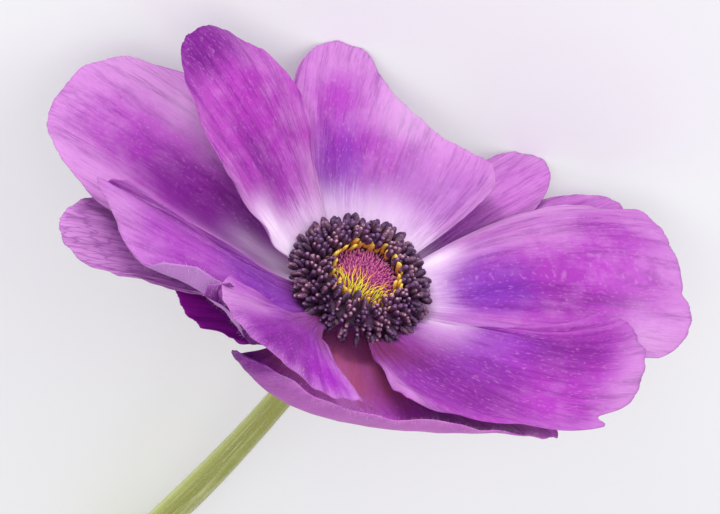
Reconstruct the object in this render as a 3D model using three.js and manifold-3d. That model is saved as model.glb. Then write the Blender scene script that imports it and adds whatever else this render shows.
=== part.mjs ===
// Anemone flower, cut and laid on a table: twelve petals in layers, a head of dark stamens round a
// pistil dome, and a bare stem.
//
// Units are millimetres. The flower is built in its own frame, with z along the flower's axis, x and y
// across it, and the petals fanned round the origin. The last group then lays it down, so that the
// lowest petals and the stem's cut end touch the table at z = 0 and the flower faces +X.

import * as THREE from 'three';
import { mergeVertices } from 'three/addons/utils/BufferGeometryUtils.js';
import Module from 'manifold-3d';

const wasm = await Module();
wasm.setup();

// ---- Driving dimensions -----------------------------------------------------------------------------

const LEAN = 16.0;             // degrees the flower's axis points above the table
const ROLL = 108.2;            // azimuth, in the flower's frame, of the side that lies down
const HEAD_HEIGHT = 30.05;     // height of the flower frame's origin above the table

const BLADE = 0.6;             // thickness of a petal
const LAYER = 0.95;            // rise from one layer of petals to the next
const CLAW_RADIUS = 3.45;      // radius at which a petal's narrow foot begins
const CLAW_HALF = 1.5;         // half the width of that foot
const VEIN_STEPS = 9;          // cells along a petal
const FAN_STEPS = 12;          // cells across a petal
const SUB_STEPS = 6;           // integration steps in each cell along a petal

const STEM_LENGTH = 104;
const STEM_SIDES = 12;
const STEM_STEPS = 14;
const STEM_RADII = [1.75, 2.35];   // under the flower, and at the cut end
const STEM_SWAY = [0.084, 0.00246];    // sideways slope under the flower, and its growth per mm
const STEM_FLARE = 0.7;            // share of its length over which the stem thickens

const BOSS_RADIUS = 3.1;       // receptacle that carries the petals' feet
const BOSS_TOP = 4.2;
const BOSS_BOTTOM = -1.6;
const BOSS_CHAMFER = 0.4;
const BOSS_TAPER = 3;          // length over which it narrows to the stem

const DOME_RADIUS = 4.7;       // pistil dome
const DOME_BASE = 4.5;
const DOME_WALL = 1;           // height of its upright edge
const DOME_TOP = 7.1;
const DOME_CHAMFER = 0.4;
const DOME_SIDES = 20;
const DOME_STEPS = 5;
const STYLE = { count: 96, length: 0.9, radius: 0.3, sides: 4, sunk: 0.35, inset: 0.6, splay: 0.12, seed: 3 };

const YELLOW_RING = { inner: 5.05, outer: 5.65, base: 4.7, top: 6.3, sides: 26 };
const YELLOW_ANTHER = { count: 26, length: 1.5, radius: 0.27, sides: 5, sunk: 0.3, seed: 11 };

const STAMEN_BED = { inner: 6, outer: 8.8, base: [4.9, 5.5], top: [6.5, 6.6], sides: 28 };
const STAMEN = { length: 2.1, radius: 0.7, stalk: 0.35, sides: 5, sunk: 0.6, seed: 7 };
const STAMEN_ROWS = [
  { radius: 6.6, height: 6.4, lean: -4, reach: 1.4, count: 17 },
  { radius: 7.1, height: 6.4, lean: 16, reach: 1.6, count: 21 },
  { radius: 7.8, height: 6.2, lean: 38, reach: 1.7, count: 24 },
  { radius: 8.2, height: 6.1, lean: 60, reach: 1.6, count: 27 },
  { radius: 8.4, height: 6.1, lean: 84, reach: 1.6, count: 27 },
];

// Petals in the order of their azimuths. Pairs are the side of growing azimuth, then the other side.
// flare and waist: how far along and how wide the veins bend. drift: degrees the whole blade swings.
// even: on a blade that bends sideways, the veins share out the width between its two sides.
// climb: degrees above the flower's plane at every 10 mm out from the axis, and lift: more of it at a side.
// notches: dents of the rim at v, their depth and half-width, or swellings where the depth is below 0.
// trough: a hollow along the blade, at v by the claw and at the rim, its depth and half-width.
// wave: height, waves and phase at the rim.
const PETALS = [
  { azimuth: 32, layer: 2, length: 53, width: [15, 14.5], shoulder: [0.74, 0.7], tip: [3.8, 2.5],
    flare: [0.55, 0.38], climb: [1, 20, 13, 4, 0, -4], notches: [[0.04, 1.2, 0.05], [-0.3, -0.8, 0.25]],
    wave: [0.4, 2.5, 0.4] },
  { azimuth: 52, layer: 0, length: 50.5, width: [5.2, 11], shoulder: [0.72, 0.78], tip: [2.2, 2.2],
    flare: [0.4, 0.4], climb: [2, 14, 11, 3, 2, 0], wave: [0.25, 2, 0] },
  { azimuth: 66, layer: 1, length: 43.5, width: [6, 6], shoulder: [0.74, 0.6], tip: [2.2, 2.2],
    flare: [0.4, 0.4], skew: -1, climb: [0, 16, 15, 0, -2, -4], wave: [0.25, 2, 0] },
  { azimuth: 98, layer: 2, length: 38.5, width: [22, 15.5], shoulder: [0.7, 0.6], tip: [1.85, 2.1],
    flare: [0.35, 0.52], skew: -9.5, notches: [[0.4, 5.8, 0.36], [0.12, 2.3, 0.2]],
    climb: [0, 24, 34, 20, 5, -10], wave: [0.5, 2, 2.2] },
  { azimuth: 160, layer: 3, length: 45.7, width: [11, 11], shoulder: [0.56, 0.6], tip: [1.75, 2.2],
    flare: [0.3, 0.5], waist: [1, 0.7], climb: [0, 24, 36, 26, 14, 0, -10], wave: [0.4, 2, 0.8] },
  { azimuth: 178, layer: 1, length: 53, width: [15, 16], shoulder: [0.66, 0.66], tip: [2.3, 2.3],
    flare: [0.35, 0.35], climb: [0, 18, 21, 7, 4, 0, -8], trough: [-0.6, -0.05, -2.2, 0.3],
    wave: [0.5, 2.5, 0] },
  { azimuth: 204.5, layer: 0, length: 45.8, width: [7, 9], shoulder: [0.7, 0.7], tip: [1.9, 2.2],
    flare: [0.35, 0.35], climb: [1, 11, 14, 8, 2, 0], wave: [0.5, 2, 1] },
  { azimuth: 212, layer: 2, length: 43, width: [15.8, 9.5], shoulder: [0.51, 0.88], tip: [1.8, 2.2],
    flare: [0.35, 0.4], waist: [1, -0.3], even: true, skew: 7,
    notches: [[-0.62, 5.2, 0.18], [-0.18, 1.7, 0.2]], climb: [0, 22, 25, 15, 6, 0], wave: [0.8, 2.5, 0.6] },
  { azimuth: 214, layer: -1, length: 28, width: [8.6, 10], shoulder: [0.56, 0.66], tip: [2.2, 2.2],
    flare: [0.35, 0.35], notches: [[-0.62, 1.6, 0.08]], climb: [0, 6, 10, 6, 0], wave: [0.3, 2, 2] },
  { azimuth: 257, layer: 3, length: 33.1, width: [15.3, 13.6], shoulder: [0.86, 0.7], tip: [2.4, 2.4],
    flare: [0.5, 0.55], waist: [-0.2, 0.1], even: true, climb: [0, 23, 35, 26, 27], wave: [0.4, 2.5, 1.5] },
  { azimuth: 306, layer: 0, length: 37, width: [24.5, 28], shoulder: [0.74, 0.48], tip: [1.8, 2.3],
    flare: [0.35, 0.35], lift: [-40, 0], climb: [2, 8, 14, 56, 80], wave: [0.4, 3, 0] },
  { azimuth: 337, layer: 3, length: 44, width: [15, 16], shoulder: [0.75, 0.42], tip: [2.4, 1.75],
    flare: [0.35, 0.3], waist: [0.3, 0.85], drift: 33, lift: [0, 6], climb: [0, 20, 18, 6, 0, -4],
    notches: [[0.25, 2.2, 0.05], [0.38, -1.7, 0.12], [0.65, 0.7, 0.15]], wave: [0.6, 2.5, 2.4] },
];

// ---- The table, seen from the flower's frame --------------------------------------------------------

const lean = THREE.MathUtils.degToRad(LEAN);
const roll = THREE.MathUtils.degToRad(ROLL);
const towardsTable = new THREE.Vector3(Math.cos(roll), Math.sin(roll), 0);
const alongTable = new THREE.Vector3(-Math.sin(roll), Math.cos(roll), 0);
const up = new THREE.Vector3(0, 0, Math.sin(lean)).addScaledVector(towardsTable, -Math.cos(lean));
const forward = new THREE.Vector3(0, 0, Math.cos(lean)).addScaledVector(towardsTable, Math.sin(lean));

// A point that would sink into the table is pressed flat against it, which gives the lowest petals and
// the stem's end their small flat spots.
function pressed(point) {
  const height = point.dot(up) + HEAD_HEIGHT;
  return height < 0 ? point.addScaledVector(up, -height) : point;
}

// ---- Curves and closed bodies -----------------------------------------------------------------------

// Value at distance x on a smooth curve through knots that stand a fixed spacing apart.
function along(knots, spacing, x) {
  const last = knots.length - 1;
  const t = THREE.MathUtils.clamp(x / spacing, 0, last - 1e-6);
  const i = Math.floor(t);
  const f = t - i;
  const [a, b, c, d] = [i - 1, i, i + 1, i + 2].map((k) => knots[THREE.MathUtils.clamp(k, 0, last)]);
  return 0.5 * (2 * b + (c - a) * f + (2 * a - 5 * b + 4 * c - d) * f * f
    + (3 * b - a - 3 * c + d) * f * f * f);
}

function geometryFrom(points, faces) {
  const geometry = new THREE.BufferGeometry();
  geometry.setAttribute('position', new THREE.Float32BufferAttribute(points.flatMap((p) => p.toArray()), 3));
  geometry.setIndex(faces.flat());
  return geometry;
}

// Closed tube through rings of equally many points, each ring running anticlockwise as seen from its end.
function ringedBody(rings) {
  const sides = rings[0].length;
  const points = rings.flat();
  const faces = [];
  rings.slice(1).forEach((ring, k) => {
    for (let i = 0; i < sides; i += 1) {
      const j = (i + 1) % sides;
      const [a, b, c, d] = [k * sides + i, k * sides + j, (k + 1) * sides + j, (k + 1) * sides + i];
      faces.push([a, b, c], [a, c, d]);
    }
  });
  const ends = [rings[0], rings[rings.length - 1]].map((ring) => (
    ring.reduce((sum, p) => sum.add(p), new THREE.Vector3()).divideScalar(sides)));
  const first = points.push(...ends) - 2;
  const top = (rings.length - 1) * sides;
  for (let i = 0; i < sides; i += 1) {
    const j = (i + 1) % sides;
    faces.push([first, j, i], [first + 1, top + i, top + j]);
  }
  return geometryFrom(points, faces);
}

function solid(geometry) {
  const bare = geometry.clone();
  bare.deleteAttribute('normal');
  bare.deleteAttribute('uv');
  const merged = mergeVertices(bare, 1e-5);
  return new wasm.Manifold(new wasm.Mesh({
    numProp: 3,
    vertProperties: new Float32Array(merged.attributes.position.array),
    triVerts: new Uint32Array(merged.index.array),
  }));
}

// One closed body out of many that run into each other.
function fused(geometries) {
  const { vertProperties, triVerts } = wasm.Manifold.union(geometries.map(solid)).getMesh();
  const geometry = new THREE.BufferGeometry();
  geometry.setAttribute('position', new THREE.Float32BufferAttribute(vertProperties, 3));
  geometry.setIndex(Array.from(triVerts));
  return geometry;
}

function mesh(name, geometry, color, roughness) {
  const material = new THREE.MeshStandardMaterial({ color, roughness, metalness: 0 });
  const part = new THREE.Mesh(geometry, material);
  part.name = name;
  return part;
}

// ---- Petals -----------------------------------------------------------------------------------------

// Flat shape of a petal: x across and y out from the flower's axis, for u from claw to rim and v from
// one side (-1) to the other (1). Veins leave the claw and bend out to the rim.
function flatPoint(petal, u, v) {
  const side = v < 0 ? 0 : 1;
  const angle = v * Math.PI / 2;
  const power = 2 / petal.tip[side];
  const sine = Math.sign(v) * Math.abs(Math.sin(angle)) ** power;
  const cosine = Math.abs(Math.cos(angle)) ** power;
  const shoulder = petal.shoulder[side] * petal.length;
  const dent = (petal.notches ?? []).reduce((sum, [at, depth, width]) => (
    sum + depth * Math.exp(-(((v - at) / width) ** 2))), 0);
  const rimX = petal.width[side] * sine + (petal.skew ?? 0) * cosine * cosine;
  const rimY = shoulder + (petal.length - shoulder) * cosine - dent;
  const flare = THREE.MathUtils.lerp(petal.flare[0], petal.flare[1], (1 + Math.sin(angle)) / 2);
  const [w0, w1, w2] = [(1 - u) ** 2, 2 * u * (1 - u), u * u];
  const waist = petal.waist ?? [1, 1];
  let midX = (1 + (waist[side] - 1) * Math.sin(angle) ** 2) * rimX;
  if (petal.even) {
    const [left, right] = [petal.width[0] * waist[0], petal.width[1] * waist[1]];
    midX = (right - left) / 2 + (right + left) / 2 * Math.sin(angle);
  }
  return {
    x: w0 * v * CLAW_HALF + w1 * midX + w2 * rimX,
    y: w0 * CLAW_RADIUS + w1 * flare * petal.length + w2 * rimY,
  };
}

// The petal's middle surface, a row of points for each step from claw to rim. Each vein keeps its flat
// length while it rises at the angle that climb and lift give.
function petalSurface(petal) {
  const veins = [];
  const lift = petal.lift ?? [0, 0];
  const [troughStart, troughEnd, troughDepth, troughWidth] = petal.trough ?? [0, 0, 0, 1];
  const [waveHeight, waves, phase] = petal.wave;
  for (let j = 0; j <= FAN_STEPS; j += 1) {
    const v = 2 * j / FAN_STEPS - 1;
    const start = flatPoint(petal, 0, v);
    let rho = Math.hypot(start.x, start.y);
    let radius = rho;
    let height = petal.layer * LAYER;
    const vein = [];
    for (let k = 0; k <= VEIN_STEPS * SUB_STEPS; k += 1) {
      const u = k / (VEIN_STEPS * SUB_STEPS);
      const flat = flatPoint(petal, u, v);
      const next = Math.hypot(flat.x, flat.y);
      const side = v < 0 ? 0 : 1;
      const slope = THREE.MathUtils.degToRad(along(petal.climb, 10, next)
        + lift[side] * (flat.x / petal.width[side]) ** 2);
      radius += (next - rho) * Math.cos(slope);
      height += (next - rho) * Math.sin(slope);
      rho = next;
      if (k % SUB_STEPS === 0) {
        const troughAt = THREE.MathUtils.lerp(troughStart, troughEnd, u);
        const out = troughDepth * Math.exp(-(((v - troughAt) / troughWidth) ** 2))
          * Math.sin(0.9 * Math.PI * u) ** 2 + waveHeight * u ** 3 * Math.sin(Math.PI * waves * v + phase);
        const turn = THREE.MathUtils.degToRad(petal.azimuth + (petal.drift ?? 0) * (rho / 50) ** 2)
          - Math.atan2(flat.x, flat.y);
        const reach = radius - out * Math.sin(slope);
        vein.push(new THREE.Vector3(reach * Math.cos(turn), reach * Math.sin(turn),
          height + out * Math.cos(slope)));
      }
    }
    veins.push(vein);
  }
  return veins[0].map((_, k) => veins.map((vein) => vein[k]));
}

// A blade of even thickness round that surface, with both faces split alike.
function petalBlade(petal) {
  const rows = petalSurface(petal);
  const columns = FAN_STEPS + 1;
  const clamp = THREE.MathUtils.clamp;
  const faceOf = (sign) => rows.flatMap((row, k) => row.map((point, j) => {
    const across = row[clamp(j + 1, 0, FAN_STEPS)].clone().sub(row[clamp(j - 1, 0, FAN_STEPS)]);
    const out = rows[clamp(k + 1, 0, VEIN_STEPS)][j].clone().sub(rows[clamp(k - 1, 0, VEIN_STEPS)][j]);
    const normal = across.cross(out).normalize();
    return pressed(point.clone().addScaledVector(normal, sign * BLADE / 2));
  }));
  const points = [...faceOf(1), ...faceOf(-1)];
  const under = rows.length * columns;
  const faces = [];
  for (let k = 0; k < VEIN_STEPS; k += 1) {
    for (let j = 0; j < FAN_STEPS; j += 1) {
      const [a, b] = [k * columns + j, k * columns + j + 1];
      const [c, d] = [b + columns, a + columns];
      faces.push([a, b, c], [a, c, d], [under + a, under + c, under + b], [under + a, under + d, under + c]);
    }
  }
  const rim = [];
  for (let j = 0; j < FAN_STEPS; j += 1) rim.push(j);
  for (let k = 0; k < VEIN_STEPS; k += 1) rim.push(k * columns + FAN_STEPS);
  for (let j = FAN_STEPS; j > 0; j -= 1) rim.push(VEIN_STEPS * columns + j);
  for (let k = VEIN_STEPS; k > 0; k -= 1) rim.push(k * columns);
  rim.forEach((a, i) => {
    const b = rim[(i + 1) % rim.length];
    faces.push([a, under + a, under + b], [a, under + b, b]);
  });
  return geometryFrom(points, faces);
}

// ---- Stem and receptacle ----------------------------------------------------------------------------

function ringAt(centre, axis, radius) {
  const across = new THREE.Vector3(1, 0, 0).addScaledVector(axis, -axis.x).normalize();
  const other = axis.clone().cross(across);
  return Array.from({ length: STEM_SIDES }, (_, i) => {
    const turn = 2 * Math.PI * i / STEM_SIDES;
    return pressed(centre.clone().addScaledVector(across, radius * Math.cos(turn))
      .addScaledVector(other, radius * Math.sin(turn)));
  });
}

function stemBody() {
  const axis = new THREE.Vector3(0, 0, -1);
  const start = BOSS_BOTTOM - BOSS_TAPER;
  const boss = [[BOSS_TOP, BOSS_RADIUS - BOSS_CHAMFER], [BOSS_TOP - BOSS_CHAMFER, BOSS_RADIUS],
    [BOSS_BOTTOM, BOSS_RADIUS], [start, STEM_RADII[0]]];
  const rings = boss.map(([z, radius]) => ringAt(new THREE.Vector3(0, 0, z), axis, radius));
  const stride = (STEM_LENGTH + start) / STEM_STEPS;
  const centre = new THREE.Vector3(0, 0, start);
  for (let k = 0; k < STEM_STEPS; k += 1) {
    const run = (k + 0.5) * stride - start;
    const tangent = axis.clone().addScaledVector(alongTable, STEM_SWAY[0] + STEM_SWAY[1] * run).normalize();
    centre.addScaledVector(tangent, stride);
    const growth = THREE.MathUtils.smoothstep((k + 1) / STEM_STEPS, 0, STEM_FLARE);
    rings.push(ringAt(centre, tangent, THREE.MathUtils.lerp(STEM_RADII[0], STEM_RADII[1], growth)));
  }
  return ringedBody(rings);
}

// ---- Head: pistil dome, short yellow stamens, dark stamens ------------------------------------------

const GOLDEN_ANGLE = Math.PI * (3 - Math.sqrt(5));

// Seeded draw in the range -1 to 1, the same at every build.
function drawer(seed) {
  let state = seed;
  return () => {
    state = (state * 1664525 + 1013904223) % 4294967296;
    return 2 * state / 4294967296 - 1;
  };
}

// A lathed body with its own axis on +Z, turned to point along direction and set at foot.
function spike(profile, sides, foot, direction) {
  const geometry = new THREE.LatheGeometry(profile.map(([r, z]) => new THREE.Vector2(r, z)), sides);
  geometry.applyQuaternion(new THREE.Quaternion().setFromUnitVectors(new THREE.Vector3(0, 1, 0), direction));
  return geometry.translate(foot.x, foot.y, foot.z);
}

// A ring whose base and top heights are each given at its inner and its outer edge.
function ring(inner, outer, base, top, sides) {
  const outline = [[inner, base[0]], [outer, base[1]], [outer, top[1]], [inner, top[0]],
    [inner, base[0]]];
  return new THREE.LatheGeometry(outline.map(([r, z]) => new THREE.Vector2(r, z)), sides)
    .rotateX(Math.PI / 2);
}

function pistilDome() {
  const draw = drawer(STYLE.seed);
  const edge = DOME_BASE + DOME_WALL;
  const rise = DOME_TOP - edge;
  const profile = [[0, DOME_BASE], [DOME_RADIUS - DOME_CHAMFER, DOME_BASE], [DOME_RADIUS, edge]];
  for (let k = 1; k < DOME_STEPS; k += 1) {
    const turn = k / DOME_STEPS * Math.PI / 2;
    profile.push([DOME_RADIUS * Math.cos(turn), edge + rise * Math.sin(turn)]);
  }
  profile.push([0, DOME_TOP]);
  const dome = new THREE.LatheGeometry(profile.map(([r, z]) => new THREE.Vector2(r, z)), DOME_SIDES)
    .rotateX(Math.PI / 2);
  const styles = Array.from({ length: STYLE.count }, (_, i) => {
    const radius = (DOME_RADIUS - STYLE.inset) * Math.sqrt((i + 0.5) / STYLE.count);
    const turn = i * GOLDEN_ANGLE;
    const height = edge + rise * Math.sqrt(1 - (radius / DOME_RADIUS) ** 2);
    const foot = new THREE.Vector3(radius * Math.cos(turn), radius * Math.sin(turn), height - STYLE.sunk);
    const direction = new THREE.Vector3(STYLE.splay * (foot.x + draw()), STYLE.splay * (foot.y + draw()), 1);
    const length = STYLE.sunk + STYLE.length * (1 + 0.15 * draw());
    return spike([[0, 0], [STYLE.radius, 0], [0, length]], STYLE.sides, foot, direction.normalize());
  });
  return fused([dome, ...styles]);
}

function yellowStamens() {
  const draw = drawer(YELLOW_ANTHER.seed);
  const { inner, outer, base, top, sides } = YELLOW_RING;
  const bed = ring(inner, outer, [base, base], [top, top], sides);
  const anthers = Array.from({ length: YELLOW_ANTHER.count }, (_, i) => {
    const turn = 2 * Math.PI * (i + 0.3 * draw()) / YELLOW_ANTHER.count;
    const radius = (inner + outer) / 2;
    const foot = new THREE.Vector3(radius * Math.cos(turn), radius * Math.sin(turn),
      top - YELLOW_ANTHER.sunk);
    const direction = new THREE.Vector3(-0.03 * foot.x, -0.03 * foot.y, 1).normalize();
    const length = YELLOW_ANTHER.length * (1 + 0.15 * draw());
    const profile = [[0, 0], [YELLOW_ANTHER.radius * 0.8, length * 0.15],
      [YELLOW_ANTHER.radius, length * 0.75], [0, length]];
    return spike(profile, YELLOW_ANTHER.sides, foot, direction);
  });
  return fused([bed, ...anthers]);
}

function darkStamens() {
  const draw = drawer(STAMEN.seed);
  const { inner, outer, base, top, sides } = STAMEN_BED;
  const parts = [ring(inner, outer, base, top, sides)];
  STAMEN_ROWS.forEach((row, k) => {
    for (let i = 0; i < row.count; i += 1) {
      const turn = 2 * Math.PI * (i + 0.5 * (k % 2) + 0.22 * draw()) / row.count;
      const tilt = THREE.MathUtils.degToRad(row.lean + 5 * draw());
      const reach = row.reach + 0.25 * draw();
      const direction = new THREE.Vector3(Math.sin(tilt) * Math.cos(turn), Math.sin(tilt) * Math.sin(turn),
        Math.cos(tilt));
      const foot = new THREE.Vector3(row.radius * Math.cos(turn), row.radius * Math.sin(turn), row.height)
        .addScaledVector(direction, -STAMEN.sunk);
      const size = STAMEN.radius * (1 + 0.1 * draw());
      const start = STAMEN.sunk + reach - STAMEN.length * 0.45;
      const profile = [[0, 0], [STAMEN.stalk, 0], [size, start + STAMEN.length * 0.35],
        [size * 0.75, start + STAMEN.length * 0.8], [0, start + STAMEN.length]];
      parts.push(spike(profile, STAMEN.sides, foot, direction));
    }
  });
  return fused(parts);
}

// ---- The flower -------------------------------------------------------------------------------------

const COLOURS = { petal: 0xb95cc4, stem: 0x9aa357, dome: 0xb4467f, yellow: 0xe6b33a, dark: 0x3c2338 };

const flower = new THREE.Group();
PETALS.forEach((petal, i) => {
  const name = `petal_${String(i + 1).padStart(2, '0')}`;
  flower.add(mesh(name, petalBlade(petal), COLOURS.petal, 0.6));
});
flower.add(mesh('stem', stemBody(), COLOURS.stem, 0.65));
flower.add(mesh('pistil_dome', pistilDome(), COLOURS.dome, 0.7));
flower.add(mesh('yellow_stamens', yellowStamens(), COLOURS.yellow, 0.6));
flower.add(mesh('dark_stamens', darkStamens(), COLOURS.dark, 0.5));

// Laid down, then centred over the origin.
const layDown = new THREE.Matrix4().makeBasis(forward, alongTable, up).transpose();
flower.applyMatrix4(layDown.setPosition(0, 0, HEAD_HEIGHT));
const middle = new THREE.Box3().setFromObject(flower, true).getCenter(new THREE.Vector3());
flower.position.x -= middle.x;
flower.position.y -= middle.y;

export default flower;
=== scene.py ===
import math
import bpy
import numpy as np
from mathutils import Matrix, Vector


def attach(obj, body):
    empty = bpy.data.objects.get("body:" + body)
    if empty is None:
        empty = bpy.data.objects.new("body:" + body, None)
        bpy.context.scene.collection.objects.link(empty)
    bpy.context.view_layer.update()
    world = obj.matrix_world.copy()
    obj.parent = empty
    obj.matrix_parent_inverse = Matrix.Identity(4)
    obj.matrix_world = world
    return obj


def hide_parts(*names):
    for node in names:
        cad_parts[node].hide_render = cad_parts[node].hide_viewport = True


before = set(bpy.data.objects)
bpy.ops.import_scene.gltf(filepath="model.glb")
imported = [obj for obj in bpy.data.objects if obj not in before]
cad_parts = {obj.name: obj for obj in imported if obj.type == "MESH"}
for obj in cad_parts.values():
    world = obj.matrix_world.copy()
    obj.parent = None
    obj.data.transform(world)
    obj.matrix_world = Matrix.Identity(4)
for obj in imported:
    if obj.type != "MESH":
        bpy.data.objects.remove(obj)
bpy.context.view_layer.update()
scene = bpy.context.scene
mm = 0.001
print("frame loaded")

# The flower is shaped in its own frame in mm, with z along its axis, and then laid on the table.
lying = {
    "lean": 16.0,                       # degrees that the axis points above the table
    "roll": 108.2,                      # azimuth of the side that is down
    "place": (35.782, 0.889, 30.05),    # where the middle of the petals' feet goes
}


def lyingRows():
    lean, roll = math.radians(lying["lean"]), math.radians(lying["roll"])
    down = np.array((math.cos(roll), math.sin(roll), 0))
    along = np.array((-math.sin(roll), math.cos(roll), 0))
    axis = np.array((0, 0, 1))
    up = math.sin(lean) * axis - math.cos(lean) * down
    forward = math.cos(lean) * axis + math.sin(lean) * down
    return np.array((forward, along, up))


turnRows = lyingRows()
along = turnRows[1]


def layOnTable(points):
    # nothing sinks into the table: the lowest rims lie flat on it
    laid = points @ turnRows.T + np.array(lying["place"])
    laid[..., 2] = np.maximum(laid[..., 2], 0)
    return laid * mm


def tableHeight(points):
    return points @ turnRows[2] + lying["place"][2]


def laidMesh(mesh):
    points = np.empty(len(mesh.vertices) * 3)
    mesh.vertices.foreach_get("co", points)
    mesh.vertices.foreach_set("co", layOnTable(points.reshape(-1, 3)).ravel())
    mesh.update()
    return mesh


def shapeMesh(name, points, faces, **shades):
    # a smooth mesh that carries a number at each point under each name in shades
    mesh = bpy.data.meshes.new(name)
    mesh.from_pydata(np.asarray(points, float).tolist(), [], faces)
    for label, values in shades.items():
        shade = mesh.attributes.new(label, "FLOAT", "POINT")
        shade.data.foreach_set("value", np.asarray(values, np.float32))
    mesh.shade_smooth()
    return mesh


def finishPiece(name, mesh, material, node):
    piece = bpy.data.objects.new(name, mesh)
    scene.collection.objects.link(piece)
    if material:
        mesh.materials.clear()
        mesh.materials.append(material)
    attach(piece, "root")
    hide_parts(node)
    return piece


def tubeFaces(rings, sides, first=0):
    # a closed tube whose points start at first and go round ring by ring
    faces = []
    for row in range(first, first + (rings - 1) * sides, sides):
        for side in range(sides):
            beside = (side + 1) % sides
            faces.append((row + side, row + beside, row + sides + beside, row + sides + side))
    last = first + (rings - 1) * sides
    faces.append(tuple(range(first + sides - 1, first - 1, -1)))
    faces.append(tuple(range(last, last + sides)))
    return faces


def srgb(red, green, blue):
    # colour as seen, 0 to 255, to the linear value that a shader takes
    seen = [channel / 255 for channel in (red, green, blue)]
    return tuple(c / 12.92 if c < 0.04045 else ((c + 0.055) / 1.055) ** 2.4 for c in seen) + (1,)


def smooth(low, high, x):
    t = np.clip((x - low) / (high - low), 0, 1)
    return t * t * (3 - 2 * t)


def ripple(x, y, seed, count=5):
    # smooth, seeded unevenness from -1 to 1 over two coordinates, about one swing per unit
    draw = np.random.default_rng(seed)
    total = 0
    for turn, phase, pace in zip(draw.uniform(0, 6.28, count), draw.uniform(0, 6.28, count),
                                 draw.uniform(0.6, 1.6, count)):
        total = total + np.sin(6.28 * pace * (x * np.cos(turn) + y * np.sin(turn)) + phase)
    return total / math.sqrt(2 * count)


class Value:
    # the output of a node, in formulas whose every step adds a Math node to its tree
    def __init__(self, socket):
        self.socket = socket

    def __add__(self, other):
        return calc("ADD", self, other)

    def __radd__(self, other):
        return calc("ADD", other, self)

    def __sub__(self, other):
        return calc("SUBTRACT", self, other)

    def __rsub__(self, other):
        return calc("SUBTRACT", other, self)

    def __mul__(self, other):
        return calc("MULTIPLY", self, other)

    def __truediv__(self, other):
        return calc("DIVIDE", self, other)


def treeOf(*terms):
    return next(term.socket.id_data for term in terms if isinstance(term, Value))


def put(socket, value):
    if isinstance(value, Value):
        socket.id_data.links.new(value.socket, socket)
    else:
        socket.default_value = value


def makeNode(tree, kind, inputs, **settings):
    made = tree.nodes.new(kind)
    for name, value in settings.items():
        setattr(made, name, value)
    for name, value in inputs.items():
        put(made.inputs[name], value)
    return made


def nodeValue(tree, kind, inputs, output=0, **settings):
    return Value(makeNode(tree, kind, inputs, **settings).outputs[output])


def calc(operation, *terms):
    return nodeValue(treeOf(*terms), "ShaderNodeMath", dict(enumerate(terms)), operation=operation)


def triple(x=0.0, y=0.0, z=0.0):
    return nodeValue(treeOf(x, y, z), "ShaderNodeCombineXYZ", {0: x, 1: y, 2: z})


def between(low, high, share):
    return nodeValue(treeOf(share), "ShaderNodeMix", {0: share, 2: low, 3: high}, data_type="FLOAT")


def blendColour(share, first, second):
    return nodeValue(treeOf(share), "ShaderNodeMix", {0: share, 6: first, 7: second}, 2, data_type="RGBA")


def ramp(value, low, high):
    # 0 below low, 1 above high, smooth between
    return nodeValue(treeOf(value), "ShaderNodeMapRange", {0: value, 1: low, 2: high},
                     interpolation_type="SMOOTHSTEP")


def noise(where, scale, detail=3.0, roughness=0.55):
    return nodeValue(treeOf(where), "ShaderNodeTexNoise",
                     {"Vector": where, "Scale": scale, "Detail": detail, "Roughness": roughness})


def attribute(tree, name):
    return nodeValue(tree, "ShaderNodeAttribute", {}, "Fac", attribute_name=name)


def objectPlace(tree):
    return nodeValue(tree, "ShaderNodeTexCoord", {}, "Object")


def bumped(height, distance, strength=1.0):
    return nodeValue(treeOf(height), "ShaderNodeBump",
                     {"Height": height, "Distance": distance, "Strength": strength})


def randomValue(seed, offset, low, high):
    # a draw for each copy; every offset has draws of its own
    return nodeValue(treeOf(seed), "FunctionNodeRandomValue",
                     {"Seed": seed + float(offset), 2: low, 3: high}, 1, data_type="FLOAT")


def newGroup(name, kind, inputs, outputs):
    # a node group with its tree, its inputs as values and the sockets of its result
    tree = bpy.data.node_groups.new(name, kind)
    for label, socketKind, value in inputs:
        made = tree.interface.new_socket(label, in_out="INPUT", socket_type=socketKind)
        if value is not None:
            made.default_value = value
    for label, socketKind in outputs:
        tree.interface.new_socket(label, in_out="OUTPUT", socket_type=socketKind)
    given = {socket.name: Value(socket) for socket in tree.nodes.new("NodeGroupInput").outputs}
    return tree, given, tree.nodes.new("NodeGroupOutput").inputs


def newMaterial(name, **shader):
    material = bpy.data.materials.new(name)
    material.use_nodes = True
    sockets = material.node_tree.nodes["Principled BSDF"].inputs
    for label, value in shader.items():
        sockets[label.replace("_", " ")].default_value = value
    return material, material.node_tree, sockets


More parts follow.
